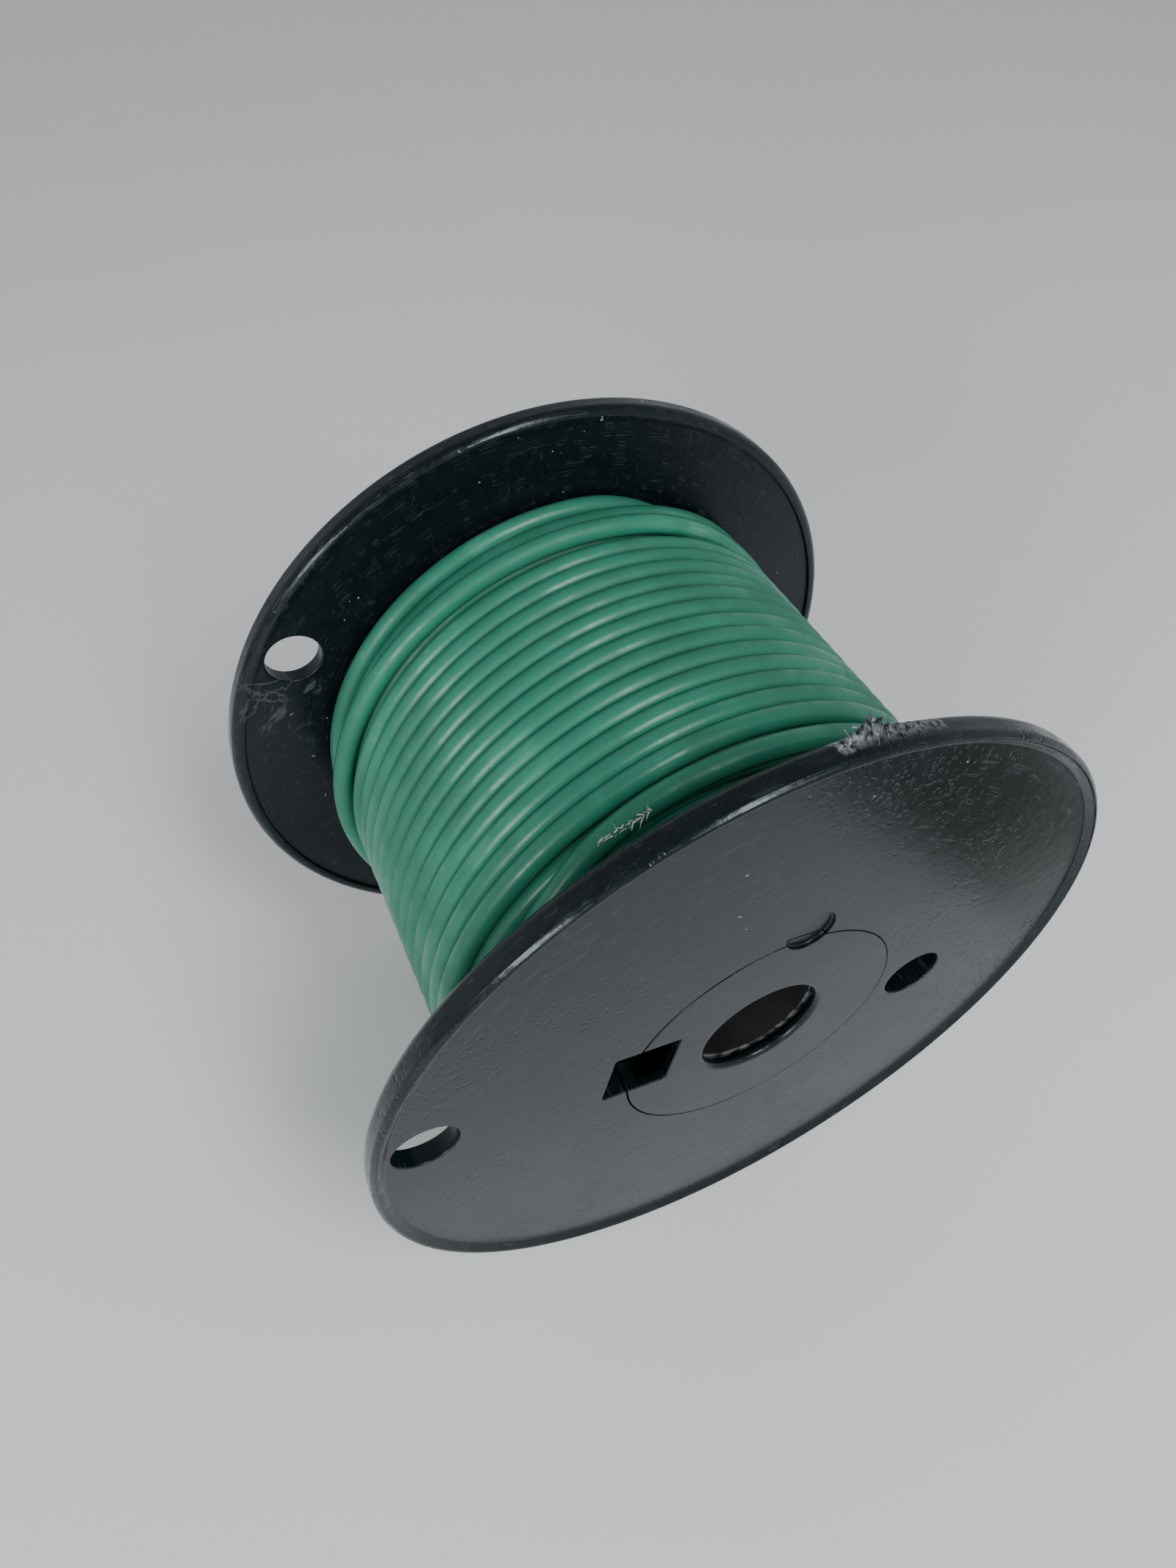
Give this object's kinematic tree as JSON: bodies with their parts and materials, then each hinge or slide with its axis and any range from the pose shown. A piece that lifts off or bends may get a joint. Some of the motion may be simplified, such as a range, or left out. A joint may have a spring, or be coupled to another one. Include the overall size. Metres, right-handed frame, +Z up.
{
  "type": "wire spool",
  "caption": "Black plastic spool with two beaded flanges, wound with neat layers of green insulated wire, lying on its rims.",
  "frame": {"origin": "middle of the resting surface under the spool: the centre of the bounding box's bottom face", "axes": "+Z up, +Y along the spool's axis from the near flange to the far one, +X to the right seen from the near flange's side"},
  "size_m": [0.1014, 0.0702, 0.1014],
  "materials": {
    "black_plastic": "satin black moulded polystyrene with a light orange-peel texture, polished rim beads, fine scratches and dust",
    "tube_plastic": "dull black extruded plastic tube with slightly rough cut ends",
    "green_insulation": "satin green PVC wire insulation, faintly mottled",
    "copper_strands": "bright bare copper strands"
  },
  "bodies": {
    "root": {"near_flange": "black_plastic", "far_flange": "black_plastic", "near_hub_cap": "black_plastic", "far_hub_cap": "black_plastic", "barrel": "black_plastic", "arbor_tube": "tube_plastic", "wire_layer_1": "green_insulation", "wire_layer_2": "green_insulation", "wire_layer_3": "green_insulation", "wire_layer_4": "green_insulation", "wire_layer_5": "green_insulation", "wire_layer_6": "green_insulation", "wire_layer_7": "green_insulation", "wire_raised_turn": "green_insulation", "wire_loose_turn_1": "green_insulation", "wire_loose_turn_2": "green_insulation", "wire_loose_turn_3": "green_insulation", "wire_tail": "green_insulation", "tail_conductor": "copper_strands"}
  },
  "joints": []
}
